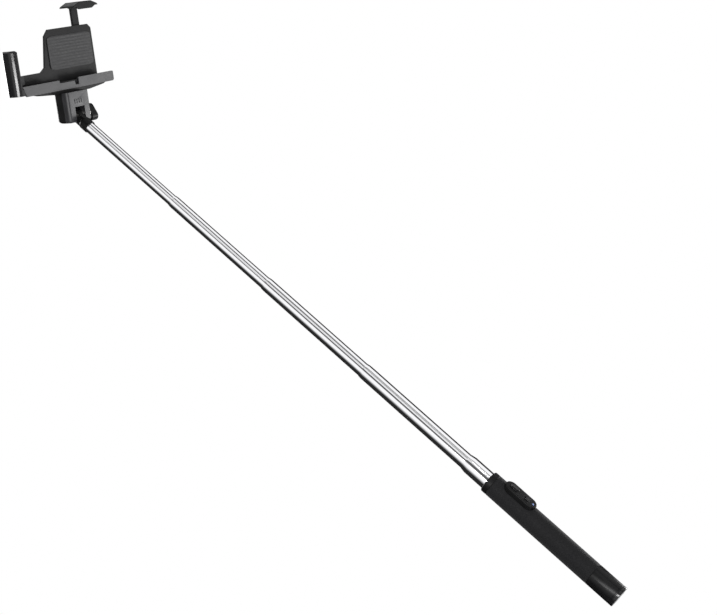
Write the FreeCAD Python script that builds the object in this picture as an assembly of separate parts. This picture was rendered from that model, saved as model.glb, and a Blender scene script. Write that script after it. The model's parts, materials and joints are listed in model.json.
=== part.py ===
"""Selfie stick: a five-section telescopic pole, a Bluetooth handle and a tilting, spring-jawed phone holder.

Frame: millimetres, +Z up the pole from the centre of the handle's flat bottom face, -Y the side with the
shutter button and the phone's screen, +X the side with the tilt knob.
"""

import FreeCAD, Part
import math
import os

Vec = FreeCAD.Vector
X_AXIS = Vec(1, 0, 0)
Y_AXIS = Vec(0, 1, 0)
Z_AXIS = Vec(0, 0, 1)

# ---------------------------------------------------------------- driving dimensions
# Handle
handle_length = 152.0
grip_radius = 10.5
grip_wall = 1.3
end_cap_length = 30.0
end_cap_wall = 1.25
base_plug_height = 3.0
base_spigot_height = 3.0
collar_height = 6.0
core_spigot = 6.0
bulkhead_height = 2.5
bulkhead_rise = 6.0
bump_stop_height = 3.0

# Control pod
pod_width = 13.0
pod_length = 34.0
pod_proud = 2.8
pod_wall = 1.1
pod_from_top = 14.0
button_from_top = 23.0
button_width = 6.4
button_length = 9.5
button_proud = 0.8
button_travel = 0.35
switch_from_top = 38.0
switch_travel = 2.5
led_from_top = 44.5
led_radius = 0.85
board_thickness = 0.6

# Battery bay
cell_radius = 5.0
cell_contact_radius = 1.8
cell_contact_height = 0.7
cell_clearance = 0.3
cell_offset = 2.6
port_width = 7.5
port_height = 2.6
port_depth = 5.6
port_offset = 5.5

# Pole
section_count = 4
tube_radius_0 = 8.5
tube_wall_0 = 0.6
tube_wall = 0.4
tube_gap_0 = 0.45
tube_gap = 0.25
tube_fit = 0.05
mouth_fit = 0.08
tube_showing_0 = 26.0
section_reach = 128.0
section_overlap = 18.0
sleeve_below_taper = 1.0
sleeve_above_foot = 1.0
mouth_taper_0 = 5.0
mouth_taper = 3.0
lip_wall = 0.22
groove_depth = 0.5
groove_radius_0 = 1.0
groove_turn = 36.0
foot_plug_height = 1.5

# Tilt joint
pivot_above_pole = 12.0
neck_collar_radius = 6.4
neck_collar_height = 9.0
neck_plug_length = 14.0
tongue_width = 5.0
tongue_radius = 5.5
clamp_screw_radius = 1.98
running_clearance = 0.07
side_clearance = 0.05
tilt_angle = 51.3

# Holder housing
housing_width = 31.4
housing_front = 7.0
housing_rear = 11.0
housing_top = 23.5
housing_bottom = 6.5
housing_heel = 7.0
slot_width = 13.4
slot_top = 8.5
slot_rear = 7.0
spacer_radius = 4.4
nut_across_flats = 7.0
nut_height = 3.2
nut_place = 10.1
washer_radius = 5.0
washer_thickness = 0.7
knob_thickness = 8.5
knob_length = 18.0
knob_width = 9.6
knob_lean = -28.0

# Phone tray
tray_left = 65.6
tray_right = 63.3
lip_top = 36.4
lip_bottom = 26.5
lip_front = 0.2
lip_wall_thickness = 2.2
floor_top = 33.0
floor_thickness = 1.5
channel_depth = 10.0
plate_thickness = 2.2
plate_top = 86.0
belly_bottom = 22.6
belly_left = 50.0
belly_right = 56.0
pad_thickness = 1.0
stop_outer = 75.2
stop_edge = 68.5
stop_rounding = 6.0
stop_front = 2.5
stop_height = 41.5
stop_bottom = 30.0
stop_wall = 2.5

# Spring jaw
jaw_centre = 36.0
arm_width = 9.0
arm_thickness = 3.0
arm_bottom = 34.0
arm_clearance = 0.3
hook_inside = 104.0
hook_top = 109.0
hook_base_width = 36.0
hook_top_width = 17.0
hook_lip = 2.4
guide_bottom = 30.0
guide_top = 84.0
spring_radius = 1.6
spring_wire = 0.6
spring_offset = 6.6
anchor_height = 35.0
ear_height = 60.0

# Fasteners
small_screw_radius = 1.0
grub_radius = 0.9
small_head_radius = 1.9
small_head_height = 1.2
screw_hole_clearance = 0.05

# ---------------------------------------------------------------- places worked out from them
core_radius = grip_radius - grip_wall
bay_bottom = base_plug_height + base_spigot_height
cell_length = end_cap_length - core_spigot - bay_bottom - cell_contact_height - cell_clearance
pole_bottom = end_cap_length + bulkhead_rise - 4.0
tube_tops = [handle_length + tube_showing_0]
for index in range(section_count):
    tube_tops.append(tube_tops[-1] + section_reach)
pole_top = tube_tops[-1]
sleeve_length = section_overlap - sleeve_above_foot - mouth_taper_0 - 1.0 - sleeve_below_taper
pivot_height = pole_top + pivot_above_pole
tube_walls = [tube_wall_0] + [tube_wall] * section_count
tube_gaps = [tube_gap_0] + [tube_gap] * (section_count - 1)
tube_radii = [tube_radius_0]
groove_radii = [groove_radius_0]
for index in range(section_count):
    step = tube_walls[index] + tube_gaps[index]
    tube_radii.append(tube_radii[-1] - step)
    groove_radii.append(groove_radii[-1] + step)
groove_centre = tube_radius_0 - groove_depth + groove_radius_0
pod_face = grip_radius + pod_proud
lip_inner = lip_front + lip_wall_thickness
plate_front = lip_inner + channel_depth
plate_rear = plate_front + plate_thickness
screw_bore = clamp_screw_radius + running_clearance
BIG = 400.0


# ---------------------------------------------------------------- shapes
def block(x0, x1, y0, y1, z0, z1):
    """A box between two corners."""
    return Part.makeBox(x1 - x0, y1 - y0, z1 - z0, Vec(x0, y0, z0))


def rod(radius, start, length, axis=Z_AXIS):
    """A solid cylinder."""
    return Part.makeCylinder(radius, length, start, axis)


def ring(outer, inner, start, length, axis=Z_AXIS):
    """A plain tube."""
    return rod(outer, start, length, axis).cut(rod(inner, start, length, axis))


def turned(profile):
    """A profile of (radius, height) points turned about the Z axis."""
    points = [Vec(radius, 0, height) for radius, height in profile]
    face = Part.Face(Part.makePolygon(points + [points[0]]))
    return face.revolve(Vec(0, 0, 0), Z_AXIS, 360)


def plate_xz(outline, y0, y1):
    """An outline of (x, z) points made into a plate between two y values."""
    points = [Vec(x, y0, z) for x, z in outline]
    return Part.Face(Part.makePolygon(points + [points[0]])).extrude(Vec(0, y1 - y0, 0))


def stadium_xz(width, length, y0, y1, z_centre):
    """A round-ended bar, long along Z, between two y values."""
    radius = width / 2
    straight = length / 2 - radius
    bar = block(-radius, radius, y0, y1, z_centre - straight, z_centre + straight)
    for end in (-1, 1):
        bar = bar.fuse(rod(radius, Vec(0, y0, z_centre + end * straight), y1 - y0, Y_AXIS))
    return bar.removeSplitter()


def edges_along(shape, axis, keep):
    """The straight edges that run along an axis and pass the test keep(midpoint)."""
    found = []
    for edge in shape.Edges:
        if not isinstance(edge.Curve, Part.Line):
            continue
        middle = edge.valueAt((edge.FirstParameter + edge.LastParameter) / 2)
        direction = edge.tangentAt(edge.FirstParameter)
        if abs(direction.dot(axis)) > 0.999 and keep(middle):
            found.append(edge)
    return found


def screw(tip, head_seat, axis):
    """A small pan-head screw from its tip to the seat of its head, which points along axis."""
    length = (head_seat - tip).dot(axis)
    shank = rod(small_screw_radius, tip, length, axis)
    head = rod(small_head_radius, head_seat, small_head_height, axis)
    recess_floor = head_seat + axis * (small_head_height * 0.45)
    recess = rod(small_head_radius * 0.5, recess_floor, small_head_height, axis)
    return shank.fuse(head.cut(recess)).removeSplitter()


def screw_hole(tip, head_seat, axis):
    """The hole and counterbore that a small screw needs."""
    length = (head_seat - tip).dot(axis)
    shank = rod(small_screw_radius + screw_hole_clearance, tip, length, axis)
    return shank.fuse(rod(small_head_radius + 0.1, head_seat, small_head_height + BIG, axis))


# ---------------------------------------------------------------- handle
def base_plug():
    """The disc that closes the handle, with its spigot and the charging port's opening."""
    disc = rod(grip_radius, Vec(0, 0, 0), base_plug_height)
    rim = [edge for edge in disc.Edges if abs(edge.BoundBox.ZMax) < 0.01]
    disc = disc.makeFillet(0.6, rim)
    spigot_radius = grip_radius - end_cap_wall - tube_fit
    spigot = ring(spigot_radius, spigot_radius - 1.0, Vec(0, 0, base_plug_height), base_spigot_height)
    margin = 0.4
    port = block(
        -port_width / 2 - margin, port_width / 2 + margin,
        port_offset - port_height / 2 - margin, port_offset + port_height / 2 + margin,
        -1, bay_bottom + 1,
    )
    return disc.fuse(spigot).cut(port)


def end_cap():
    """The glossy sleeve round the battery bay."""
    sleeve = ring(grip_radius, grip_radius - end_cap_wall, Vec(0, 0, base_plug_height),
                  end_cap_length - base_plug_height)
    return sleeve.cut(end_cap_screw_hole())


def end_cap_screw_places():
    height = end_cap_length - core_spigot / 2
    return Vec(0, core_radius - 1.6, height), Vec(0, grip_radius - 0.75, height)


def end_cap_screw():
    """A countersunk-length grub that pins the cap to the core, at the back."""
    tip, seat = end_cap_screw_places()
    pin = rod(grub_radius, tip, (seat - tip).Length + 0.5, Y_AXIS)
    slot = rod(0.4, seat, 1.0, Y_AXIS)
    return pin.cut(slot)


def end_cap_screw_hole():
    tip, seat = end_cap_screw_places()
    return rod(grub_radius + screw_hole_clearance, tip - Y_AXIS, 5.0, Y_AXIS)


def handle_core():
    """The moulded liner that holds the fixed tube, with the bulkhead above the battery bay."""
    bottom = end_cap_length - core_spigot
    top = handle_length - collar_height
    core = ring(core_radius, tube_radius_0, Vec(0, 0, bottom), top - bottom)
    bulkhead = rod(tube_radius_0, Vec(0, 0, pole_bottom - bulkhead_height - 1.5), bulkhead_height)
    wire_slot = block(-2.1, 2.1, -core_radius - 1, -5, bottom - 1, handle_length - led_from_top)
    core = core.fuse(bulkhead).removeSplitter()
    slot_keep = rod(tube_radius_0, Vec(0, 0, bottom - 1), BIG)
    return core.cut(wire_slot.cut(slot_keep)).cut(end_cap_screw_hole())


def bump_stop():
    """The rubber disc that the pole sections land on when the stick is closed."""
    start = pole_bottom - 1.5
    return ring(tube_radius_0 - tube_wall_0 - 1.6, 1.5, Vec(0, 0, start), bump_stop_height)


def grip_sleeve():
    """The foam grip, with the window that the control pod stands in."""
    sleeve = ring(grip_radius, core_radius, Vec(0, 0, end_cap_length),
                  handle_length - collar_height - end_cap_length)
    window = stadium_xz(pod_width + 0.1, pod_length + 0.1, -BIG, 0, pod_centre())
    return sleeve.cut(window)


def top_collar():
    """The rounded ring that closes the grip round the fixed tube."""
    start = handle_length - collar_height
    collar = rod(grip_radius, Vec(0, 0, start), collar_height)
    rim = [edge for edge in collar.Edges if abs(edge.BoundBox.ZMin - handle_length) < 0.01]
    collar = collar.makeFillet(1.4, rim)
    return collar.cut(rod(tube_radius_0, Vec(0, 0, start - 1), collar_height + 2))


def pod_centre():
    return handle_length - pod_from_top - pod_length / 2


def button_centre():
    return handle_length - button_from_top


def slider_centre():
    return handle_length - switch_from_top


def led_height():
    return handle_length - led_from_top


def control_pod():
    """The raised shell over the shutter board."""
    outer = stadium_xz(pod_width, pod_length, -pod_face, -2.0, pod_centre())
    rim = [edge for edge in outer.Edges if edge.BoundBox.YMax < -pod_face + 0.01]
    outer = outer.makeFillet(0.9, rim)
    inner_width = pod_width - 2 * pod_wall
    inner_length = pod_length - 2 * pod_wall
    inner = stadium_xz(inner_width, inner_length, -pod_face + pod_wall, 0, pod_centre())
    shell = outer.cut(inner).cut(rod(core_radius, Vec(0, 0, 0), BIG))
    button_gap = 0.15
    opening = stadium_xz(button_width + 2 * button_gap, button_length + 2 * button_gap,
                         -pod_face - 1, -pod_face + pod_wall + 1, button_centre())
    slot = block(-1.1, 1.1, -pod_face - 1, -pod_face + pod_wall + 1,
                 slider_centre() - 1.2, slider_centre() + 1.2 + switch_travel)
    lamp = rod(led_radius + 0.05, Vec(0, -pod_face - 1, led_height()), 3.0, Y_AXIS)
    return shell.cut(opening).cut(slot).cut(lamp)


def shutter_button():
    """The shutter button and the flange that keeps it in the pod."""
    cap = stadium_xz(button_width, button_length, -pod_face - button_proud, -pod_face + pod_wall + 0.1,
                     button_centre())
    rim = [edge for edge in cap.Edges if edge.BoundBox.YMax < -pod_face - button_proud + 0.01]
    cap = cap.makeFillet(0.5, rim)
    flange_top = -pod_face + pod_wall + 0.05
    flange = stadium_xz(button_width + 1.4, button_length + 1.4, flange_top, flange_top + 0.5,
                        button_centre())
    return cap.fuse(flange).removeSplitter()


def board_face():
    return -core_radius - 0.15 - board_thickness


def control_board():
    """The printed circuit board under the pod."""
    bottom = pod_centre() - pod_length / 2 + pod_wall + 1.6
    top = pod_centre() + pod_length / 2 - pod_wall - 1.6
    return block(-3.6, 3.6, board_face(), board_face() + board_thickness, bottom, top)


def tact_switch():
    """The click switch that the shutter button presses."""
    plunger_face = -pod_face + pod_wall + 0.55 + button_travel + 0.05
    half = 2.2
    centre = button_centre()
    body = block(-half, half, plunger_face + 0.3, board_face(), centre - half, centre + half)
    return body.fuse(rod(1.0, Vec(0, plunger_face, centre), 0.4, Y_AXIS)).removeSplitter()


def power_slider():
    """The power switch's ribbed thumb piece, its stem and its inner plate."""
    centre = slider_centre()
    thumb = block(-2.6, 2.6, -pod_face - 0.8, -pod_face - 0.1, centre - 2.0, centre + 2.0)
    for number in range(3):
        height = centre - 1.1 + number * 1.1
        thumb = thumb.cut(block(-3, 3, -pod_face - 1, -pod_face - 0.55, height - 0.2, height + 0.2))
    stem = block(-0.95, 0.95, -pod_face - 0.1, -pod_face + pod_wall + 0.1, centre - 1.0, centre + 1.0)
    plate = block(-2.1, 2.1, -pod_face + pod_wall + 0.1, -pod_face + pod_wall + 0.6,
                  centre - 2.4, centre + 2.4)
    return thumb.fuse(stem).fuse(plate).removeSplitter()


def power_switch():
    """The slide switch on the board under the power slider."""
    centre = slider_centre() + switch_travel / 2
    return block(-1.8, 1.8, -pod_face + pod_wall + 0.75, board_face(), centre - 3.6, centre + 3.6)


def status_led():
    """The light pipe of the status lamp."""
    face = -pod_face - 0.1
    return rod(led_radius, Vec(0, face, led_height()), board_face() - face, Y_AXIS)


def wiring_ribbon():
    """The flat lead between the battery bay and the control board."""
    return block(-1.9, 1.9, -core_radius + 0.27, -tube_radius_0 - 0.05, end_cap_length - core_spigot + 1,
                 handle_length - led_from_top - 0.5)


def battery_cell():
    """The round rechargeable cell with its raised contact."""
    cell = rod(cell_radius, Vec(0, -cell_offset, bay_bottom), cell_length)
    contact = rod(cell_contact_radius, Vec(0, -cell_offset, bay_bottom + cell_length), cell_contact_height)
    return cell.fuse(contact).removeSplitter()


def cell_cradle():
    """The moulded ring that centres the cell and clips the charging board."""
    bottom = bay_bottom + 4.0
    body = rod(grip_radius - end_cap_wall - 0.1, Vec(0, 0, bottom), 8.0)
    body = body.cut(rod(cell_radius + 0.05, Vec(0, -cell_offset, bottom - 1), 10.0))
    front = port_offset - port_height / 2 - 0.8
    return body.cut(block(-6.6, 6.6, front - 0.05, BIG, bottom - 1, bottom + 9))


def charge_board():
    """The charging circuit board."""
    rear = port_offset - port_height / 2
    return block(-6.5, 6.5, rear - 0.8, rear, base_plug_height + 0.3, end_cap_length - core_spigot - 1.0)


def charging_socket():
    """The metal shell of the charging socket."""
    half = port_width / 2
    low = port_offset - port_height / 2
    shell = block(-half, half, low, low + port_height, 0.5, 0.5 + port_depth)
    hollow = block(-half + 0.3, half - 0.3, low + 0.3, low + port_height - 0.3, 0, port_depth - 0.4)
    tongue = block(-half + 1.4, half - 1.4, port_offset - 0.25, port_offset + 0.25, 1.2, port_depth)
    return shell.cut(hollow).fuse(tongue).removeSplitter()


# ---------------------------------------------------------------- pole
def groove(radius, bottom, top):
    """The round cutter of the anti-turn groove, the same centre line for every tube."""
    angle = math.radians(groove_turn)
    centre = Vec(-groove_centre * math.sin(angle), -groove_centre * math.cos(angle), bottom)
    return rod(radius, centre, top - bottom)


def tube(index):
    """One pole tube, its mouth drawn in over the next tube."""
    radius = tube_radii[index]
    wall = tube_walls[index]
    top = tube_tops[index]
    bottom = pole_bottom if index == 0 else tube_tops[index - 1] - section_overlap
    if index == section_count:
        top = pole_top - 2.0
        outer = rod(radius, Vec(0, 0, bottom), top - bottom)
        inner = rod(radius - wall, Vec(0, 0, bottom), top - bottom)
    else:
        taper = mouth_taper_0 if index == 0 else mouth_taper
        mouth = tube_radii[index + 1] + mouth_fit
        outer = turned([(0, bottom), (radius, bottom), (radius, top - taper),
                        (mouth + lip_wall, top), (0, top)])
        inner = turned([(0, bottom), (radius - wall, bottom), (radius - wall, top - taper - 1.0),
                        (mouth, top - 1.0), (mouth, top), (0, top)])
    outer = outer.cut(groove(groove_radii[index], bottom - 1, top + 1))
    inner = inner.cut(groove(groove_radii[index] + wall, bottom - 1, top + 1))
    return outer.cut(inner)


def friction_sleeve(index):
    """The split plastic sleeve at the foot of a sliding tube, which rubs in the tube outside it."""
    radius = tube_radii[index]
    thickness = tube_gaps[index - 1] - tube_fit
    bottom = tube_tops[index - 1] - section_overlap + sleeve_above_foot
    top = bottom + sleeve_length
    outer = rod(radius + thickness, Vec(0, 0, bottom), sleeve_length)
    outer = outer.cut(groove(groove_radii[index] - thickness, bottom - 1, top + 1))
    inner = rod(radius, Vec(0, 0, bottom), sleeve_length)
    inner = inner.cut(groove(groove_radii[index], bottom - 1, top + 1))
    return outer.cut(inner).cut(block(-0.4, 0.4, 0, BIG, bottom - 1, top + 1))


def foot_plug(index):
    """The vented disc in the foot of a sliding tube."""
    bottom = tube_tops[index - 1] - section_overlap
    disc = rod(tube_radii[index] - tube_wall, Vec(0, 0, bottom), foot_plug_height)
    disc = disc.cut(groove(groove_radii[index] + tube_wall, bottom - 1, bottom + foot_plug_height + 1))
    return disc.cut(rod(1.0, Vec(0, 0, bottom - 1), foot_plug_height + 2))


def neck_fitting():
    """The black fitting on the top tube: collar outside, plug inside and the tongue of the tilt joint."""
    last = section_count
    tube_top = pole_top - 2.0
    collar_bottom = pole_top - neck_collar_height
    body = turned([(0, collar_bottom), (neck_collar_radius - 0.5, collar_bottom),
                   (neck_collar_radius, collar_bottom + 0.5), (neck_collar_radius, pole_top - 0.8),
                   (neck_collar_radius - 0.8, pole_top), (tongue_width / 2 + 1.5, pole_top + 2.2),
                   (0, pole_top + 2.2)])
    sheath = rod(tube_radii[last], Vec(0, 0, collar_bottom - 1), tube_top - collar_bottom + 1)
    sheath = sheath.cut(groove(groove_radii[last], collar_bottom - 2, tube_top + 1))
    plug = rod(tube_radii[last] - tube_wall, Vec(0, 0, tube_top - neck_plug_length), neck_plug_length)
    plug = plug.cut(groove(groove_radii[last] + tube_wall, tube_top - neck_plug_length - 1, tube_top + 1))
    half = tongue_width / 2
    tongue = block(-half, half, -tongue_radius, tongue_radius, pole_top, pivot_height)
    tongue = tongue.fuse(rod(tongue_radius, Vec(-half, 0, pivot_height), tongue_width, X_AXIS))
    body = body.cut(sheath).fuse(plug).fuse(tongue).removeSplitter()
    return body.cut(rod(screw_bore, Vec(-half - 1, 0, pivot_height), tongue_width + 2, X_AXIS))


# ---------------------------------------------------------------- holder, built upright round the tilt axis
def in_place(shape):
    """Turns a holder piece, built upright at the tilt axis, to its rest tilt on the pole."""
    placed = shape.copy()
    turn = FreeCAD.Placement(Vec(0, 0, pivot_height), FreeCAD.Rotation(X_AXIS, tilt_angle))
    placed.Placement = turn.multiply(shape.Placement)
    return placed


def housing_heel_cutter():
    """What is cut from the housing's lower rear edge to round it."""
    centre_y = housing_rear - housing_heel
    centre_z = housing_heel - housing_bottom
    corner = block(-BIG, BIG, centre_y, BIG, -BIG, centre_z)
    return corner.cut(rod(housing_heel, Vec(-BIG, centre_y, centre_z), 2 * BIG, X_AXIS))


def housing_blank():
    half = housing_width / 2
    blank = block(-half, half, -housing_front, housing_rear, -housing_bottom, housing_top)
    uprights = edges_along(blank, Z_AXIS, lambda p: True)
    blank = blank.makeFillet(3.0, uprights)
    feet = [edge for edge in blank.Edges if edge.BoundBox.ZMax < -housing_bottom + 0.01]
    blank = blank.makeFillet(2.4, feet)
    blank = blank.cut(block(-BIG, BIG, lip_inner, BIG, belly_bottom, BIG))
    slot = block(-slot_width / 2, slot_width / 2, -BIG, slot_rear, -BIG, slot_top)
    pocket = block(-9.5, 9.5, 2.0 - housing_front, housing_rear - 2.0, slot_top + 2.0, housing_top - 7.5)
    bore = rod(screw_bore, Vec(-half + 1.6, 0, 0), BIG, X_AXIS)
    blank = blank.cut(slot).cut(pocket).cut(bore).cut(nut_prism(0.05)).cut(housing_heel_cutter())
    for tip, seat in housing_screw_places():
        blank = blank.cut(screw_hole(tip, seat, Y_AXIS))
    for tip, seat in tray_screw_places()[:2]:
        blank = blank.cut(rod(small_screw_radius + screw_hole_clearance, tip, 20, Z_AXIS))
    return blank


def housing_shell():
    """The front half of the tilt housing, with the slot that the pole swings in."""
    front = housing_blank().common(block(-BIG, BIG, -BIG, 0, -BIG, BIG))
    ribs = [block(-6.0 + 3.2 * n, -4.2 + 3.2 * n, -housing_front - 0.4, -housing_front + 0.3, 12.0, 16.2)
            for n in range(4)]
    return front.fuse(ribs).removeSplitter()


def housing_cover():
    """The rear half of the tilt housing."""
    return housing_blank().common(block(-BIG, BIG, 0, BIG, -BIG, BIG))


def housing_screw_places():
    seat = housing_rear - small_head_height - 0.3
    return [(Vec(x, -4.0, z), Vec(x, seat, z)) for x in (-11.8, 11.8) for z in (6.5, 19.0)]


def housing_screws():
    """Four small screws from the rear cover into the front shell."""
    return Part.makeCompound([screw(tip, seat, Y_AXIS) for tip, seat in housing_screw_places()])


def nut_prism(gap):
    corner = (nut_across_flats / 2 + gap) / math.cos(math.radians(30))
    points = [Vec(0, corner * math.cos(math.radians(60 * n)), corner * math.sin(math.radians(60 * n)))
              for n in range(7)]
    prism = Part.Face(Part.makePolygon(points)).extrude(Vec(nut_height + 2 * gap, 0, 0))
    prism.translate(Vec(-nut_place - nut_height - gap, 0, 0))
    return prism


def clamp_nut():
    """The steel nut held in the left cheek."""
    return nut_prism(0).cut(rod(screw_bore, Vec(-BIG / 2, 0, 0), BIG, X_AXIS))


def pivot_spacers():
    """The two bright bushes between the cheeks and the tongue."""
    start = tongue_width / 2 + side_clearance
    length = slot_width / 2 - start
    right = ring(spacer_radius, screw_bore, Vec(start, 0, 0), length, X_AXIS)
    left = ring(spacer_radius, screw_bore, Vec(-start - length, 0, 0), length, X_AXIS)
    return Part.makeCompound([left, right])


def knob_start():
    return housing_width / 2 + side_clearance + washer_thickness + side_clearance


def clamp_washer():
    """The washer under the knob."""
    start = housing_width / 2 + side_clearance
    return ring(washer_radius, screw_bore, Vec(start, 0, 0), washer_thickness, X_AXIS)


def clamp_screw():
    """The M4 clamp screw, from the knob through the joint into the nut."""
    start = -nut_place - nut_height
    hex_head = rod(3.4, Vec(knob_start() + 2.0, 0, 0), 3.0, X_AXIS)
    shank = rod(clamp_screw_radius, Vec(start, 0, 0), knob_start() + 3.0 - start, X_AXIS)
    return shank.fuse(hex_head).removeSplitter()


def tilt_knob():
    """The bar-shaped knob moulded round the clamp screw's head."""
    start = knob_start()
    radius = knob_width / 2
    straight = knob_length / 2 - radius
    bar = block(start, start + knob_thickness, -radius, radius, -straight, straight)
    for end in (-1, 1):
        bar = bar.fuse(rod(radius, Vec(start, 0, end * straight), knob_thickness, X_AXIS))
    bar = bar.removeSplitter()
    outer_rim = [edge for edge in bar.Edges if edge.BoundBox.XMin > start + knob_thickness - 0.01]
    bar = bar.makeFillet(1.8, outer_rim)
    bar.rotate(Vec(0, 0, 0), X_AXIS, knob_lean)
    return bar.cut(clamp_screw())


def tray_lip_outline():
    """The front lip: straight, with a lowered stretch, a notch and a slanted left end."""
    return [
        (-tray_left, lip_top), (-15.6, lip_top), (-14.6, lip_top - 3.0), (6.1, lip_top - 3.0),
        (6.7, lip_top - 6.9), (11.6, lip_top - 6.9), (12.0, lip_top), (tray_right - 0.6, lip_top),
        (tray_right, lip_top - 0.6), (tray_right, lip_bottom + 1.5), (tray_right - 1.5, lip_bottom),
        (-tray_left + 4.6, lip_bottom), (-tray_left + 3.6, lip_bottom + 1.0),
    ]


def tray():
    """The phone's shelf with its front lip."""
    lip = plate_xz(tray_lip_outline(), lip_front, lip_inner)
    shelf = block(-tray_left + 3.0, tray_right - 1.0, lip_inner, plate_front,
                  floor_top - floor_thickness, floor_top)
    notch = block(6.1, 12.0, lip_inner - 1, lip_inner + 1.4, lip_top - 6.9, lip_top)
    body = lip.fuse(shelf).removeSplitter().cut(notch)
    for tip, seat in tray_screw_places():
        body = body.cut(screw_hole(tip, seat, Z_AXIS))
    return body


def tray_screw_places():
    seat = floor_top - small_head_height
    middle = (lip_inner + plate_front) / 2 - 1.0
    places = [(Vec(x, middle, 17.5), Vec(x, middle, seat)) for x in (-6.0, 6.0)]
    places += [(Vec(x, middle, 26.0), Vec(x, middle, seat)) for x in (-38.0, 46.0)]
    return places


def tray_screws():
    """The screws that hold the tray on the belly and the housing."""
    return Part.makeCompound([screw(tip, seat, Z_AXIS) for tip, seat in tray_screw_places()])


def belly_outline(inset):
    """The boat-shaped underside, seen from the front."""
    top = floor_top - floor_thickness
    return [(-belly_left + inset, top), (-belly_left + inset + 1.5, 27.0 + inset), (-36.6, 24.2 + inset),
            (-17.0, belly_bottom + inset), (28.4, belly_bottom + inset), (50.0 - inset, 25.2 + inset),
            (belly_right - inset, 28.6 + inset), (belly_right - inset, top)]


def belly_cover():
    """The hollow underside of the tray, with its screw bosses."""
    front = lip_inner + 0.2
    rear = plate_front
    body = plate_xz(belly_outline(0), front, rear)
    hollow = plate_xz(belly_outline(1.5), front + 1.5, rear - 3.0)
    top = floor_top - floor_thickness
    bosses = [rod(2.6, Vec(tip.x, tip.y, belly_bottom + 0.5), top - belly_bottom - 0.5)
              for tip, seat in tray_screw_places()]
    inside = plate_xz(belly_outline(0.2), front + 0.2, rear - 0.2)
    body = body.cut(hollow)
    for boss in bosses:
        body = body.fuse(boss.common(inside))
    for tip, seat in tray_screw_places():
        body = body.cut(rod(small_screw_radius + screw_hole_clearance, tip, 30, Z_AXIS))
    for tip, seat in plate_screw_places():
        body = body.cut(rod(small_screw_radius + screw_hole_clearance, tip, 30, Y_AXIS))
    return body


def plate_outline():
    """The back plate seen from the front: a low wide part and a tall part behind the jaw."""
    left = -belly_left
    right = jaw_centre + 17.0
    return [(left, 26.6), (-44.0, 25.6), (right - 8.0, 25.6), (right, 30.0), (right, plate_top - 4.0),
            (right - 4.0, plate_top), (-8.0, plate_top), (-14.0, plate_top - 6.0), (-20.0, 50.0),
            (-26.0, 46.0), (left, 46.0)]


def back_plate():
    """The plate behind the phone, which carries the jaw's guide."""
    body = plate_xz(plate_outline(), plate_front, plate_rear)
    for tip, seat in plate_screw_places() + cover_screw_places():
        body = body.cut(screw_hole(tip, seat, Y_AXIS))
    for pin in spring_anchor_solids():
        body = body.cut(pin)
    return body


def plate_screw_places():
    seat = plate_rear - small_head_height
    return [(Vec(x, seat - 4.0, 28.4), Vec(x, seat, 28.4)) for x in (-42.0, -12.0, 18.0)]


def plate_screws():
    """The screws that hold the back plate on the belly."""
    return Part.makeCompound([screw(tip, seat, Y_AXIS) for tip, seat in plate_screw_places()])


def tray_pad():
    """The rubber strip that the phone stands on."""
    return block(-tray_left + 6.0, tray_right - 4.0, lip_inner + 1.6, plate_front - 1.2,
                 floor_top, floor_top + pad_thickness)


def back_pad():
    """The rubber sheet behind the phone."""
    sheet = block(-12.0, 50.0, plate_front - pad_thickness, plate_front, 46.0, 79.0)
    return sheet.makeFillet(4.0, edges_along(sheet, Y_AXIS, lambda p: True))


def end_stop():
    """The hooked stop round the phone's left end, with a foot that reaches the tray."""
    top = stop_bottom + stop_height
    foot = stop_bottom - 2.0
    outer = block(-stop_outer, -stop_edge, -stop_front, plate_rear, foot, top)
    left_edges = edges_along(outer, Z_AXIS, lambda p: p.x < -stop_outer + 0.01)
    outer = outer.makeFillet(stop_rounding, left_edges)
    top_edges = edges_along(outer, Y_AXIS, lambda p: p.z > top - 0.01)
    outer = outer.makeFillet(2.0, top_edges)
    pocket = block(-stop_outer + stop_wall, BIG, lip_front, plate_front, -BIG, BIG)
    pocket = pocket.makeFillet(3.0, edges_along(pocket, Z_AXIS, lambda p: p.x < 0))
    toe_end = -tray_left - 0.6
    toe = block(-stop_outer + 4.0, toe_end, lip_front, plate_front, foot, stop_bottom)
    front_toe = block(-stop_outer + stop_rounding, toe_end, -stop_front, lip_front, foot, stop_bottom + 4.0)
    wing = block(-stop_edge - 0.1, -belly_left, plate_front, plate_rear, foot, 46.0)
    return outer.cut(pocket).fuse(toe).fuse(front_toe).fuse(wing).removeSplitter()


def end_stop_pad():
    """The rubber facing of the end stop."""
    inner = -stop_outer + stop_wall
    return block(inner, inner + pad_thickness, 3.4, plate_front - 3.2,
                 stop_bottom + 4.0, stop_bottom + stop_height - 6.0)


def guide_cover():
    """The channel screwed on the back plate, which the jaw's arm slides in."""
    depth = arm_clearance + arm_thickness + 0.5
    outer = block(jaw_centre - 13.0, jaw_centre + 13.0, plate_rear, plate_rear + depth + 1.5,
                  guide_bottom, guide_top)
    outer = outer.makeFillet(1.2, edges_along(outer, Z_AXIS, lambda p: p.y > plate_rear + 1))
    inner = block(jaw_centre - 8.4, jaw_centre + 8.4, plate_rear, plate_rear + depth, -BIG, BIG)
    body = outer.cut(inner)
    for tip, seat in cover_screw_places():
        body = body.cut(screw_hole(tip, seat, Y_AXIS))
    return body


def cover_screw_places():
    seat = plate_rear + 2.6
    return [(Vec(jaw_centre + side, plate_front + 0.4, z), Vec(jaw_centre + side, seat, z))
            for side in (-10.7, 10.7) for z in (36.0, 78.0)]


def cover_screws():
    """Four small screws through the guide cover."""
    return Part.makeCompound([screw(tip, seat, Y_AXIS) for tip, seat in cover_screw_places()])


def spring_centre_y():
    return plate_rear + arm_clearance + arm_thickness / 2


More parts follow.
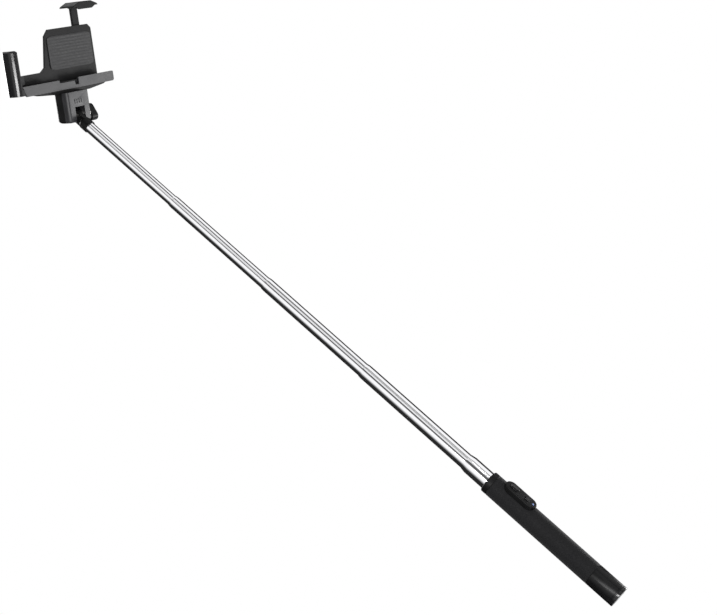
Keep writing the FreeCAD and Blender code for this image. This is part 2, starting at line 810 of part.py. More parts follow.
def spring_anchor_solids():
    return [rod(0.9, Vec(jaw_centre + side, plate_front + 0.6, anchor_height), plate_thickness + 2.8, Y_AXIS)
            for side in (-spring_offset, spring_offset)]


def spring_anchors():
    """The two pins that the springs hook on."""
    return Part.makeCompound(spring_anchor_solids())


def jaw_springs():
    """The two pull springs, as plain sleeves of the coils' size."""
    bottom = anchor_height + 1.0
    coils = []
    for side in (-spring_offset, spring_offset):
        start = Vec(jaw_centre + side, spring_centre_y(), bottom)
        coils.append(ring(spring_radius, spring_radius - spring_wire, start, ear_height - bottom))
    return Part.makeCompound(coils)


def jaw_arm():
    """The flat slide of the jaw, with the ears that the springs pull on."""
    near = plate_rear + arm_clearance
    half = arm_width / 2
    bar = block(jaw_centre - half, jaw_centre + half, near, near + arm_thickness, arm_bottom, hook_inside)
    ears = block(jaw_centre - 8.1, jaw_centre + 8.1, near, near + arm_thickness,
                 ear_height, ear_height + 4.0)
    return bar.fuse(ears).removeSplitter()


def jaw_hook():
    """The top hook that closes over the phone's upper edge."""
    base = hook_base_width / 2
    crown = hook_top_width / 2
    rear = plate_rear + arm_clearance + arm_thickness
    cap_outline = [(-base, hook_inside), (base, hook_inside), (base - 1.0, hook_inside + 1.6),
                   (crown, hook_top), (-crown, hook_top), (-base + 1.0, hook_inside + 1.6)]
    lip_foot = hook_inside - hook_lip
    lip_outline = [(-base + 4.0, hook_inside), (-base + 9.0, lip_foot), (base - 9.0, lip_foot),
                   (base - 4.0, hook_inside)]
    cap = plate_xz([(jaw_centre + x, z) for x, z in cap_outline], -1.5, rear)
    lip = plate_xz([(jaw_centre + x, z) for x, z in lip_outline], -1.5, 0.9)
    return cap.fuse(lip).removeSplitter()


def jaw_pad():
    """The rubber facing of the top hook."""
    return block(jaw_centre - 13.0, jaw_centre + 13.0, 2.2, plate_front - 0.6,
                 hook_inside - pad_thickness, hook_inside)


# ---------------------------------------------------------------- the pieces
handle_pieces = {
    "base_plug": base_plug(), "end_cap": end_cap(), "end_cap_screw": end_cap_screw(),
    "handle_core": handle_core(), "bump_stop": bump_stop(), "grip_sleeve": grip_sleeve(),
    "top_collar": top_collar(), "control_pod": control_pod(), "control_board": control_board(),
    "tact_switch": tact_switch(), "power_switch": power_switch(), "status_led": status_led(),
    "wiring_ribbon": wiring_ribbon(), "battery_cell": battery_cell(), "cell_cradle": cell_cradle(),
    "charge_board": charge_board(), "charging_socket": charging_socket(),
    "shutter_button": shutter_button(), "power_slider": power_slider(),
}

pole_pieces = {"tube_0": tube(0), "neck_fitting": neck_fitting()}
for index in range(1, section_count + 1):
    pole_pieces[f"tube_{index}"] = tube(index)
    pole_pieces[f"friction_sleeve_{index}"] = friction_sleeve(index)
    pole_pieces[f"foot_plug_{index}"] = foot_plug(index)

holder_pieces = {
    "housing_shell": housing_shell(), "housing_cover": housing_cover(), "housing_screws": housing_screws(),
    "clamp_nut": clamp_nut(), "pivot_spacers": pivot_spacers(), "clamp_washer": clamp_washer(),
    "clamp_screw": clamp_screw(), "tilt_knob": tilt_knob(), "tray": tray(), "tray_screws": tray_screws(),
    "belly_cover": belly_cover(), "back_plate": back_plate(), "plate_screws": plate_screws(),
    "tray_pad": tray_pad(), "back_pad": back_pad(), "end_stop": end_stop(), "end_stop_pad": end_stop_pad(),
    "guide_cover": guide_cover(), "cover_screws": cover_screws(), "spring_anchors": spring_anchors(),
    "jaw_springs": jaw_springs(), "jaw_arm": jaw_arm(), "jaw_hook": jaw_hook(), "jaw_pad": jaw_pad(),
}

os.makedirs("parts", exist_ok=True)
pieces = {**handle_pieces, **pole_pieces}
for name, shape in holder_pieces.items():
    pieces[name] = in_place(shape)
for name, shape in sorted(pieces.items()):
    shape.exportStep(os.path.join("parts", name + ".step"))
    print(f"{name:18s} volume {shape.Volume:9.1f} mm3  solids {len(shape.Solids)}  valid {shape.isValid()}")
print(f"{len(pieces)} pieces, pivot at {pivot_height:.1f} mm, pole top at {pole_top:.1f} mm")
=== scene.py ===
# %% [markdown]
# # A selfie stick, from frame to finish
# The engineered parts arrive as a fixed frame. This lesson dresses them: it turns fine tubes, moulds
# the soft grip, rounds the plastic edges, winds the springs, and gives each surface a real finish.

# %% Load the frame
import json
import math
import bmesh
import bpy
from mathutils import Matrix, Vector


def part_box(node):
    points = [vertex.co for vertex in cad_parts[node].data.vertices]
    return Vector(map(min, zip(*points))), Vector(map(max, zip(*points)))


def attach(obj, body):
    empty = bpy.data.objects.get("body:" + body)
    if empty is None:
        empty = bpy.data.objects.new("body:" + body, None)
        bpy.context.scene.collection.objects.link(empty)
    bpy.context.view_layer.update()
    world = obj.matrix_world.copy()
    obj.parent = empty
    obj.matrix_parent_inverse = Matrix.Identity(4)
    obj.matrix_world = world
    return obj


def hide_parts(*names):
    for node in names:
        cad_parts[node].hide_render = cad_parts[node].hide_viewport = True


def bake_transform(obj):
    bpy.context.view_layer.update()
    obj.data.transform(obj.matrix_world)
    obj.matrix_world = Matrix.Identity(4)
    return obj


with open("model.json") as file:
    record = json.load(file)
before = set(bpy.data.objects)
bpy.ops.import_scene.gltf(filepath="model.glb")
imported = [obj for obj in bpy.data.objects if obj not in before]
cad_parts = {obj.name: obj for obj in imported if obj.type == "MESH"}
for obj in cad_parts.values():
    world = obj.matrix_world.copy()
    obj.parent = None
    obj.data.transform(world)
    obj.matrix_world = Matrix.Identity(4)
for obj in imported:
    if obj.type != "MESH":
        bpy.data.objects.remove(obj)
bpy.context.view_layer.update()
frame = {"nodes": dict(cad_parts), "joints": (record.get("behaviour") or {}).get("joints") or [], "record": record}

nodes = frame["nodes"]
joints = {joint["name"]: joint for joint in frame["joints"]}

# %% [markdown]
# ## Two frames of reference
# The pole stands on the row's own Z axis. The phone holder is easier to think of upright, so one
# matrix turns upright holder shapes to their rest tilt. Its place and angle are read from the joints.

# %% The holder's own frame
MM = 0.001
tilt_pivot = Vector(joints["holder_tilt"]["pos_m"])
jaw_axis = Vector(joints["jaw_slide"]["axis"])
tilt_angle = math.atan2(-jaw_axis.y, jaw_axis.z)
holder_frame = Matrix.Translation(tilt_pivot) @ Matrix.Rotation(tilt_angle, 4, "X")
print("tilt", round(math.degrees(tilt_angle), 1), "degrees")


def upright_box(node):
    """A holder node's lowest and highest corners in the upright holder frame, in metres."""
    back = holder_frame.inverted()
    points = [back @ v.co for v in nodes[node].data.vertices]
    low = Vector([min(p[i] for p in points) for i in range(3)])
    high = Vector([max(p[i] for p in points) for i in range(3)])
    return low, high


# %% [markdown]
# ## Colour and node helpers
# Colours are written in sRGB hex, and turned to linear once. One small
# function adds any shader node with its settings and links, so each material reads as a recipe.

# %% Helpers for materials
NOISE_LOW = 0.3
NOISE_HIGH = 0.7


def linear(hex_colour):
    """An sRGB hex colour as the linear colour that a shader takes."""
    parts = [int(hex_colour[i:i + 2], 16) / 255 for i in (1, 3, 5)]
    return [c / 12.92 if c <= 0.04045 else ((c + 0.055) / 1.055) ** 2.4 for c in parts] + [1.0]


def add(tree, kind, settings=None, inputs=None):
    """Adds one node; an input is either a plain value or another node's socket."""
    node = tree.nodes.new(kind)
    for name, value in (settings or {}).items():
        setattr(node, name, value)
    for name, value in (inputs or {}).items():
        if isinstance(value, bpy.types.NodeSocket):
            tree.links.new(value, node.inputs[name])
        else:
            node.inputs[name].default_value = value
    return node


def start_material(name, colour, roughness, metallic=0.0, extra=None):
    """A material with its shader's constant values set and its object coordinates at hand."""
    material = bpy.data.materials.new(name)
    material.use_nodes = True
    tree = material.node_tree
    shader = tree.nodes["Principled BSDF"]
    values = {"Base Color": linear(colour), "Roughness": roughness, "Metallic": metallic, **(extra or {})}
    for socket, value in values.items():
        shader.inputs[socket].default_value = value
    place = add(tree, "ShaderNodeTexCoord").outputs["Object"]
    return material, tree, shader, place


def per_metre(size_mm):
    """The texture scale whose features are about this many millimetres across."""
    return 1.0 / (size_mm * MM)


def noise(tree, place, size_mm, detail):
    """A noise pattern with features of about this size, as a socket."""
    made = add(tree, "ShaderNodeTexNoise", None,
               {"Vector": place, "Scale": per_metre(size_mm), "Detail": detail})
    return made.outputs["Fac"]


def vary(tree, shader, socket, source, low, high):
    """Drives a shader value from a 0 to 1 pattern between two limits."""
    spread = add(tree, "ShaderNodeMapRange", {"clamp": True},
                 {"Value": source, "From Min": NOISE_LOW, "From Max": NOISE_HIGH,
                  "To Min": low, "To Max": high})
    tree.links.new(spread.outputs["Result"], shader.inputs[socket])


def raise_surface(tree, shader, source, depth_mm, strength=1.0):
    """Bumps the surface by a pattern of a real depth."""
    bump = add(tree, "ShaderNodeBump", None,
               {"Height": source, "Distance": depth_mm * MM, "Strength": strength})
    tree.links.new(bump.outputs["Normal"], shader.inputs["Normal"])


def mottle(tree, shader, source, colour_a, colour_b):
    """Lets the base colour drift between two close colours."""
    mix = add(tree, "ShaderNodeMix", {"data_type": "RGBA"},
              {"Factor": source, "A": linear(colour_a), "B": linear(colour_b)})
    tree.links.new(mix.outputs["Result"], shader.inputs["Base Color"])


# %% [markdown]
# ## Stainless steel tube, drawn and polished
# Drawing leaves faint lines along the tube and polishing leaves it mirror-bright, so the eye sees
# long hard reflections, very slightly streaked, with a little haze where fingers have been.

# %% Polished stainless steel
STREAK_STRETCH = 0.012
STREAK_SHARE = 0.6
HAZE_SIZE = 14
HAZE_SHARE = 0.4


def polished_stainless(name, colour, streak_mm, rough_low, rough_high):
    """Bright steel whose roughness follows fine streaks along Z and a wide haze."""
    material, tree, shader, place = start_material(name, colour, rough_low, 1.0)
    along = add(tree, "ShaderNodeMapping", None, {"Vector": place, "Scale": (1.0, 1.0, STREAK_STRETCH)})
    streaks = noise(tree, along.outputs["Vector"], streak_mm, 3.0)
    haze = noise(tree, place, HAZE_SIZE, 2.0)
    share = add(tree, "ShaderNodeMath", {"operation": "MULTIPLY"}, {0: streaks, 1: STREAK_SHARE})
    both = add(tree, "ShaderNodeMath", {"operation": "MULTIPLY_ADD"},
               {0: haze, 1: HAZE_SHARE, 2: share.outputs["Value"]})
    vary(tree, shader, "Roughness", both.outputs["Value"], rough_low, rough_high)
    raise_surface(tree, shader, streaks, 0.0012, 0.5)
    return material


tube_steel = polished_stainless("stainless_drawn_polished", "#E4E4E6", 0.22, 0.06, 0.13)
print("made", tube_steel.name)

# %% [markdown]
# ## Closed-cell foam
# The grip is a foam sleeve: matt, with a skin of fine burst cells. Light grazes it softly, so it
# gets a high roughness, a little sheen, and two sizes of cell in its bump.

# %% Foam grip finish
def foam_skin(name, colour, cell_mm):
    """Matt foam: burst cells with a finer grain over them."""
    material, tree, shader, place = start_material(
        name, colour, 0.78, 0.0,
        {"Sheen Weight": 0.03, "Sheen Roughness": 0.5, "Specular IOR Level": 0.18})
    cells = add(tree, "ShaderNodeTexVoronoi", None, {"Vector": place, "Scale": per_metre(cell_mm)})
    fine = noise(tree, place, cell_mm * 3, 5.0)
    height = add(tree, "ShaderNodeMath", {"operation": "MULTIPLY_ADD"},
                 {0: fine, 1: 0.8, 2: cells.outputs["Distance"]})
    raise_surface(tree, shader, height.outputs["Value"], 0.09, 0.7)
    vary(tree, shader, "Roughness", fine, 0.66, 0.86)
    mottle(tree, shader, fine, "#070708", "#101012")
    return material


grip_foam = foam_skin("foam_closed_cell_skinned", "#1C1C1E", 0.55)
print("made", grip_foam.name)

# %% [markdown]
# ## Moulded plastics
# Every rigid cover is injection-moulded ABS. What changes is the tool's surface: a spark-eroded
# cavity gives a fine matt grain, a polished one gives gloss. So one recipe takes the grain's size
# and depth, and each finish is named for how its tool was made.

# %% ABS from different tools
PATCH_SIZE = 9


def moulded_abs(name, colour, roughness, grain_mm, depth_mm, shade, extra=None):
    """A plastic with a fine grain of a real depth, and wide patches that differ a little in shine."""
    material, tree, shader, place = start_material(
        name, colour, roughness, 0.0, {"IOR": 1.53, **(extra or {})})
    grain = noise(tree, place, grain_mm, 4.0)
    patches = noise(tree, place, PATCH_SIZE, 2.0)
    raise_surface(tree, shader, grain, depth_mm, 0.8)
    vary(tree, shader, "Roughness", patches, roughness * 0.86, roughness * 1.16)
    mottle(tree, shader, patches, colour, shade)
    return material


satin_abs = moulded_abs("abs_spark_eroded_black", "#090909", 0.42, 0.22, 0.010, "#0E0E0F",
                        {"Specular IOR Level": 0.10})
# The lip's base colour is partly its own charcoal and partly painted light: it is raised above the other blacks to
# stand in for the light on its front faces.
lip_abs = moulded_abs("abs_fine_spark_charcoal_painted_light", "#18181A", 0.42, 0.20, 0.010, "#202023",
                      {"Specular IOR Level": 0.36})
gloss_abs = moulded_abs("abs_polished_black", "#09090A", 0.17, 1.6, 0.004, "#0D0D0F",
                        {"Specular IOR Level": 0.34})
cap_abs = moulded_abs("abs_semi_gloss_black", "#0A0A0B", 0.30, 0.5, 0.006, "#0F0F10",
                      {"Specular IOR Level": 0.14})
acetal = moulded_abs("acetal_natural_moulded", "#D9D7CE", 0.42, 0.30, 0.006, "#CFCDC2")
nylon = moulded_abs("nylon_moulded_black", "#202022", 0.52, 0.35, 0.012, "#2A2A2C")
lamp_lens = moulded_abs("polycarbonate_lens_blue", "#9DB4E8", 0.10, 2.0, 0.002, "#8FA8E0",
                        {"Transmission Weight": 0.5})
cell_wrap = moulded_abs("pvc_shrink_wrap_blue", "#2B4E9B", 0.24, 3.0, 0.02, "#24438A")
print("made", len(bpy.data.materials), "materials so far")

# %% [markdown]
# ## Rubber pads
# The pads that touch the phone are moulded silicone rubber: deep matt black with a dusty bloom.

# %% Silicone rubber
def silicone_rubber(name, colour, dust):
    """Matt rubber with a dusty bloom over it."""
    material, tree, shader, place = start_material(
        name, colour, 0.72, 0.0, {"IOR": 1.41, "Sheen Weight": 0.08})
    bloom = noise(tree, place, 2.5, 6.0)
    mottle(tree, shader, bloom, colour, dust)
    vary(tree, shader, "Roughness", bloom, 0.62, 0.82)
    raise_surface(tree, shader, bloom, 0.02, 0.6)
    return material


pad_rubber = silicone_rubber("silicone_moulded_black", "#1A1A1B", "#262627")
print("made", pad_rubber.name)

# %% [markdown]
# ## Small metals and electronics
# Bushes are nickel plated, so nearly white and smooth. Screws are black zinc on turned steel. The
# boards have green solder mask over copper tracks, and the flat lead is amber polyimide film.

# %% Metals and boards
def plated_metal(name, colour, low, high, grain_mm):
    """A bright metal with a very shallow grain."""
    material, tree, shader, place = start_material(name, colour, low, 1.0)
    grain = noise(tree, place, grain_mm, 3.0)
    vary(tree, shader, "Roughness", grain, low, high)
    raise_surface(tree, shader, grain, 0.002, 0.5)
    return material


bright_nickel = plated_metal("nickel_plated_bush", "#E6E4DF", 0.10, 0.20, 0.4)
black_zinc = plated_metal("steel_black_zinc", "#3A3A3E", 0.30, 0.46, 0.3)
tinned_steel = plated_metal("steel_tinned_stamped", "#C9C9C6", 0.24, 0.38, 0.5)


def solder_mask(name):
    """Green mask, raised a little over the copper tracks."""
    material, tree, shader, place = start_material(name, "#14532B", 0.30, 0.0, {"Coat Weight": 0.4})
    tracks = add(tree, "ShaderNodeTexBrick", None,
                 {"Vector": place, "Scale": per_metre(2.4), "Mortar Size": 0.05, "Color1": linear("#14532B"),
                  "Color2": linear("#17602F"), "Mortar": linear("#2C8A4C")})
    tree.links.new(tracks.outputs["Color"], shader.inputs["Base Color"])
    raise_surface(tree, shader, tracks.outputs["Fac"], 0.03, 0.6)
    return material


def polyimide_film(name):
    """Amber film with dark conductors side by side."""
    material, tree, shader, place = start_material(name, "#B46A1C", 0.22, 0.0, {"Coat Weight": 0.5})
    lanes = add(tree, "ShaderNodeTexWave", {"wave_type": "BANDS", "bands_direction": "X"},
                {"Vector": place, "Scale": per_metre(6), "Distortion": 0.0})
    mottle(tree, shader, lanes.outputs["Fac"], "#B46A1C", "#7E4712")
    return material


board_mask = solder_mask("fr4_solder_mask_green")
lead_film = polyimide_film("polyimide_flat_lead")
print("made", board_mask.name, "and", lead_film.name)

# %% [markdown]
# ## Dressing the nodes
# The record names a material slot for each node. One table says which finish a slot gets, so the
# nodes that keep their engineered shape are dressed in a single loop.

# %% Which finish goes on which slot
finishes = {
    "steel_tube": tube_steel, "bright_bush": bright_nickel, "steel_fastener": black_zinc,
    "grip_foam": grip_foam, "pad_rubber": pad_rubber,
    "satin_black": satin_abs, "gloss_black": gloss_abs, "lip_black": lip_abs,
    "sleeve_plastic": acetal, "circuit_board": board_mask, "switch_body": nylon, "socket_metal": tinned_steel,
    "lamp_lens": lamp_lens, "cell_wrap": cell_wrap, "lead_ribbon": lead_film,
}
slot_of = {part["node"]: part["material_slot"] for part in frame["record"]["subparts"]}
body_of = {node: body for body, members in frame["record"]["behaviour"]["bodies"].items() for node in members}
for name, node in nodes.items():
    node.data.materials.clear()
    node.data.materials.append(finishes[slot_of[name]])
print("dressed", len(nodes), "nodes in", len(finishes), "finishes")

# %% [markdown]
# ## Turning a mesh into a piece
# Every new shape ends the same way: normals recalculated, smooth shading with crisp edges kept, a
# finish, a body to ride on, and the node it stands for.

# %% Finishing a piece
def make_piece(name, bm, node, smooth_angle=35.0, material=None, recalculate=True):
    """Turns a bmesh into an object that replaces a node and rides on that node's body."""
    if recalculate:
        bmesh.ops.recalc_face_normals(bm, faces=bm.faces)
    mesh = bpy.data.meshes.new(name)
    bm.to_mesh(mesh)
    bm.free()
    mesh.shade_smooth()
    mesh.set_sharp_from_angle(angle=math.radians(smooth_angle))
    mesh.materials.append(material or finishes[slot_of[node]])
    piece = bpy.data.objects.new(name, mesh)
    bpy.context.scene.collection.objects.link(piece)
    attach(piece, body_of[node])
    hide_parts(node)
    print(f"{name}: {len(mesh.polygons)} faces")
    return piece


# %% [markdown]
# ## The pole tubes
# A mirror finish shows every facet, so each tube is rebuilt with a fine ring of points. The ring is a
# circle with one shallow groove that stops the sections turning. It is extruded along the tube, drawn
# in at the mouth, turned back inside and closed at the foot.

# %% Grooved tubes
TUBE_SEGMENTS = 224
TUBE_COUNT = 5
first_radius = 8.5 * MM
groove_side = math.radians(234)  # the groove's bearing, anticlockwise from +X
wall_first = 0.6 * MM
wall_rest = 0.4 * MM
gap_first = 0.45 * MM
gap_rest = 0.25 * MM
mouth_fit = 0.08 * MM
mouth_lip = 0.22 * MM
mouth_land = 1.0 * MM
taper_first = 5.0 * MM
taper_rest = 3.0 * MM
groove_depth = 0.5 * MM
groove_first = 1.0 * MM
section_names = [f"tube_{number}" for number in range(TUBE_COUNT)]


def tube_facts(number):
    """A tube's radius, wall, groove radius, foot height and top height."""
    radius = first_radius
    groove = groove_first
    for step in range(number):
        shift = (wall_first + gap_first) if step == 0 else (wall_rest + gap_rest)
        radius -= shift
        groove += shift
    low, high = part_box(section_names[number])
    return radius, wall_first if number == 0 else wall_rest, groove, low.z, high.z


groove_centre = first_radius - groove_depth + groove_first


def grooved_radius(angle, radius, groove):
    """How far out the wall is at an angle round the tube: the circle, or the groove's near side."""
    off = angle - groove_side
    inside = groove ** 2 - (groove_centre * math.sin(off)) ** 2
    if math.cos(off) <= 0 or inside <= 0:
        return radius
    return min(radius, groove_centre * math.cos(off) - math.sqrt(inside))


def build_tube(number):
    """Extrudes a grooved ring up the outside of a tube, over its mouth and down the inside."""
    radius, wall, groove, foot, top = tube_facts(number)
    outside = [(foot, radius), (top, radius)]
    inside = [(top, radius - wall), (foot, radius - wall)]
    if number < TUBE_COUNT - 1:
        mouth = tube_facts(number + 1)[0] + mouth_fit
        taper = taper_first if number == 0 else taper_rest
        lip = mouth + mouth_lip
        outside = [(foot, radius), (top - taper, radius), (top - taper * 0.9, radius - 0.02 * MM),
                   (top - taper * 0.12, lip + 0.07 * MM), (top - 0.03 * MM, lip)]
        inside = [(top, mouth + 0.08 * MM), (top - 0.1 * MM, mouth), (top - mouth_land, mouth),
                  (top - taper - mouth_land, radius - wall), (foot, radius - wall)]
    rings = [(height, size, groove) for height, size in outside]
    rings += [(height, size, groove + wall) for height, size in inside]
    bm = bmesh.new()
    ring = bmesh.ops.create_circle(bm, segments=TUBE_SEGMENTS, radius=1.0)["verts"]
    edges = list(bm.edges)
    for count, (height, size, groove_size) in enumerate(rings):
        if count:
            grown = bmesh.ops.extrude_edge_only(bm, edges=edges)["geom"]
            ring = [item for item in grown if isinstance(item, bmesh.types.BMVert)]
            edges = [item for item in grown if isinstance(item, bmesh.types.BMEdge)]
        for vert in ring:
            angle = math.atan2(vert.co.y, vert.co.x)
            reach = grooved_radius(angle, size, groove_size)
            vert.co = Vector((reach * math.cos(angle), reach * math.sin(angle), height))
    bmesh.ops.bridge_loops(bm, edges=[edge for edge in bm.edges if edge.is_boundary])
    make_piece(f"pole_section_{number}", bm, section_names[number], 22.0)


for number in range(TUBE_COUNT):
    build_tube(number)


# %% [markdown]
# ## Rounding the moulded parts
# No moulded edge is truly sharp: the cutter that makes the tool leaves a small radius, and that
# radius is what catches the light. The engineered plastics arrive with knife edges, so each is copied,
# its loose triangles merged into whole faces, and a Bevel modifier rounds every edge over 30 degrees.

# %% Softened copies of the rigid covers
def merged_copy(node):
    """A node's shape as a clean bmesh: doubles merged and flat triangles joined into faces."""
    bm = bmesh.new()
    bm.from_mesh(nodes[node].data)
    bmesh.ops.remove_doubles(bm, verts=bm.verts, dist=1e-7)
    bmesh.ops.dissolve_limit(bm, angle_limit=math.radians(0.6), verts=bm.verts, edges=bm.edges)
    return bm


def round_edges(piece, width_mm, segments=3, angle=30.0):
    """Rounds a piece's sharp edges and keeps its flat faces looking flat."""
    bevel = piece.modifiers.new("mould_radius", "BEVEL")
    bevel.width = width_mm * MM
    bevel.segments = segments
    bevel.limit_method = "ANGLE"
    bevel.angle_limit = math.radians(angle)
    bevel.use_clamp_overlap = True
    bevel.harden_normals = True


edge_radii = {
    "base_plug": 0.25, "top_collar": 0.30, "control_pod": 0.20, "housing_shell": 0.30,
    "housing_cover": 0.30, "tray": 0.25, "belly_cover": 0.35, "back_plate": 0.30, "guide_cover": 0.35,
    "jaw_arm": 0.25, "neck_fitting": 0.22, "power_slider": 0.12, "end_stop": 0.55, "jaw_hook": 0.55,
}
for node, radius in edge_radii.items():
    round_edges(make_piece(f"{node}_rounded", merged_copy(node), node, recalculate=False), radius)

# %% [markdown]
# ## Turned pieces
# The battery cap and the foam sleeve are round. A closed profile is spun once round the pole's
# axis, and the openings are cut afterwards, as they are in the real parts.

# %% Spinning a profile
def spun(profile, steps=144):
    """Spins a closed profile of (radius, height) points, in mm, round the pole's axis."""
    bm = bmesh.new()
    loop = bmesh.ops.create_circle(bm, segments=len(profile), radius=1.0)["verts"]
    for vert, (radius, height) in zip(loop, profile):
        vert.co = (radius * MM, 0.0, height * MM)
    bmesh.ops.spin(bm, geom=bm.verts[:] + bm.edges[:], cent=(0, 0, 0), axis=(0, 0, 1),
                   angle=math.tau, steps=steps, use_merge=True)
    bmesh.ops.remove_doubles(bm, verts=bm.verts, dist=1e-7)
    bmesh.ops.recalc_face_normals(bm, faces=bm.faces)
    return bm


def stadium(width, length, segments=64):
    """The outline of a round-ended bar, long along its second axis."""
    radius = width / 2
    straight = length / 2 - radius
    points = []
    for step in range(segments):
        angle = math.tau * step / segments
        shift = straight if math.sin(angle) > 0 else -straight
        points.append((radius * math.cos(angle), radius * math.sin(angle) + shift))
    return points


def prism(outline, low, high):
    """A capped outline of (x, z) points in metres, extruded along Y from low to high."""
    bm = bmesh.new()
    loop = bmesh.ops.create_circle(bm, segments=len(outline), radius=1.0, cap_ends=True)["verts"]
    for vert, (x, z) in zip(loop, outline):
        vert.co = (x, low, z)
    grown = bmesh.ops.extrude_face_region(bm, geom=bm.faces[:])["geom"]
    far = [item for item in grown if isinstance(item, bmesh.types.BMVert)]
    bmesh.ops.translate(bm, verts=far, vec=(0, high - low, 0))
    bmesh.ops.recalc_face_normals(bm, faces=bm.faces)
    return bm


def cut_away(bm, cutters):
    """Cuts closed shapes out of a closed shape and returns the result as a bmesh."""
    mesh = bpy.data.meshes.new("blank")
    bm.to_mesh(mesh)
    bm.free()
    blank = bpy.data.objects.new("blank", mesh)
    bpy.context.scene.collection.objects.link(blank)
    helpers = [blank]
    for cutter in cutters:
        tool = bpy.data.objects.new("cutter", bpy.data.meshes.new("cutter"))
        cutter.to_mesh(tool.data)
        cutter.free()
        bpy.context.scene.collection.objects.link(tool)
        step = blank.modifiers.new("cut", "BOOLEAN")
        step.operation = "DIFFERENCE"
        step.solver = "EXACT"
        step.object = tool
        helpers.append(tool)
    graph = bpy.context.evaluated_depsgraph_get()
    shaped = blank.evaluated_get(graph)
    result = bmesh.new()
    result.from_mesh(shaped.to_mesh())
    shaped.to_mesh_clear()
    for helper in helpers:
        data = helper.data
        bpy.data.objects.remove(helper)
        bpy.data.meshes.remove(data)
    bmesh.ops.remove_doubles(result, verts=result.verts, dist=1e-6)
    return result


# %% [markdown]
# ## The foam grip
# A tube of closed-cell foam is pushed over the core. It is soft, so both ends swell a little and
# round over, and so does the edge of the window that the control pod stands in.

# %% Foam sleeve with its window
def foam_profile(outer, inner, low, high):
    """A sleeve's section with softly rolled ends, as (radius, height) points in mm."""
    roll = (outer - inner) * 0.62
    points = [(inner, low + 0.25), (inner + 0.2, low)]
    for step in range(7):
        angle = math.pi / 2 * step / 6
        points.append((outer - roll + roll * math.sin(angle), low + roll - roll * math.cos(angle)))
    rows = 24
    for row in range(1, rows):
        points.append((outer, low + roll + (high - low - 2 * roll) * row / rows))
    for step in range(7):
        angle = math.pi / 2 * step / 6
        points.append((outer - roll + roll * math.cos(angle), high - roll + roll * math.sin(angle)))
    points += [(inner + 0.2, high), (inner, high - 0.25)]
    return points


grip_low, grip_high = (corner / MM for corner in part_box("grip_sleeve"))
grip_outer = grip_high.x
grip_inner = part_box("handle_core")[1].x / MM
pod_low, pod_high = (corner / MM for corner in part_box("control_pod"))
pod_middle = (pod_low.z + pod_high.z) / 2
window_gap = 0.1
window = [(x * MM, (z + pod_middle) * MM)
          for x, z in stadium(pod_high.x - pod_low.x + window_gap, pod_high.z - pod_low.z + window_gap)]
sleeve = spun(foam_profile(grip_outer, grip_inner, grip_low.z, grip_high.z))
sleeve = cut_away(sleeve, [prism(window, -0.02, 0.0)])
grip = make_piece("foam_grip", sleeve, "grip_sleeve", 50.0)
round_edges(grip, 0.35, 3, 55.0)

# %% [markdown]
# ## The battery cap
# The cap is a semi-gloss moulding, round as if turned, with a small chamfer at each end and a fine
# line near the foot. The grub screw's hole is drilled through at the back.

# %% End cap
CAP_WALL = 1.25
LINE_RISE = 1.6
LINE_DEPTH = 0.16
FOOT_CHAMFER = 0.12
TOP_CHAMFER = 0.30
GRUB_RADIUS = 0.95
GRUB_SIDES = 32
cap_low, cap_high = (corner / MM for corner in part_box("end_cap"))
cap_outer = cap_high.x
line_height = cap_low.z + LINE_RISE
cap_profile = [
    (cap_outer - CAP_WALL, cap_low.z), (cap_outer - FOOT_CHAMFER, cap_low.z),
    (cap_outer, cap_low.z + FOOT_CHAMFER), (cap_outer, line_height - LINE_DEPTH),
    (cap_outer - LINE_DEPTH, line_height), (cap_outer, line_height + LINE_DEPTH),
    (cap_outer, cap_high.z - TOP_CHAMFER), (cap_outer - 0.09, cap_high.z - 0.09),
    (cap_outer - TOP_CHAMFER, cap_high.z), (cap_outer - CAP_WALL, cap_high.z),
]
grub_low, grub_high = (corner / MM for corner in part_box("end_cap_screw"))
grub_height = (grub_low.z + grub_high.z) / 2
grub_hole = []
for side in range(GRUB_SIDES):
    angle = side * math.tau / GRUB_SIDES
    grub_hole.append((GRUB_RADIUS * MM * math.cos(angle), (grub_height + GRUB_RADIUS * math.sin(angle)) * MM))
cap = cut_away(spun(cap_profile, 192), [prism(grub_hole, 0.005, 0.015)])
make_piece("battery_cap", cap, "end_cap", 25.0, cap_abs)

# %% [markdown]
# ## The shutter button
# The thumb finds this button by feel, so its face is dished and carries a raised ring. The face is
# inset twice and pushed in between, as a tool maker would sink it.

# %% Dished button
button_low, button_high = (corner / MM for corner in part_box("shutter_button"))
button_middle = (button_low.z + button_high.z) / 2
flange_width = button_high.x - button_low.x
flange_length = button_high.z - button_low.z
flange_thick = 0.5
rim_step = 1.4
ring_width = 0.35
dish_slope, dish_depth = 0.55, 0.22
floor_slope, floor_depth = 0.6, 0.10


def stadium_at(width, length, height):
    """A stadium in metres, moved up to a height in mm."""
    return [(x * MM, (z + height) * MM) for x, z in stadium(width, length)]


button = prism(stadium_at(flange_width, flange_length, button_middle),
               (button_high.y - flange_thick) * MM, button_high.y * MM)
front = min(button.faces, key=lambda face: face.calc_center_median().y)
bmesh.ops.inset_region(button, faces=[front], thickness=rim_step / 2 * MM)
grown = bmesh.ops.extrude_face_region(button, geom=[front])["geom"]
top_verts = [item for item in grown if isinstance(item, bmesh.types.BMVert)]
rise = button_low.y * MM - front.calc_center_median().y
bmesh.ops.translate(button, verts=top_verts, vec=(0, rise, 0))
cap_face = [item for item in grown if isinstance(item, bmesh.types.BMFace)][0]
bmesh.ops.inset_region(button, faces=[cap_face], thickness=ring_width * MM)
bmesh.ops.inset_region(button, faces=[cap_face], thickness=dish_slope * MM, depth=-dish_depth * MM)
bmesh.ops.inset_region(button, faces=[cap_face], thickness=floor_slope * MM, depth=-floor_depth * MM)
round_edges(make_piece("shutter_button_dished", button, "shutter_button", 40.0), 0.14, 3, 25.0)

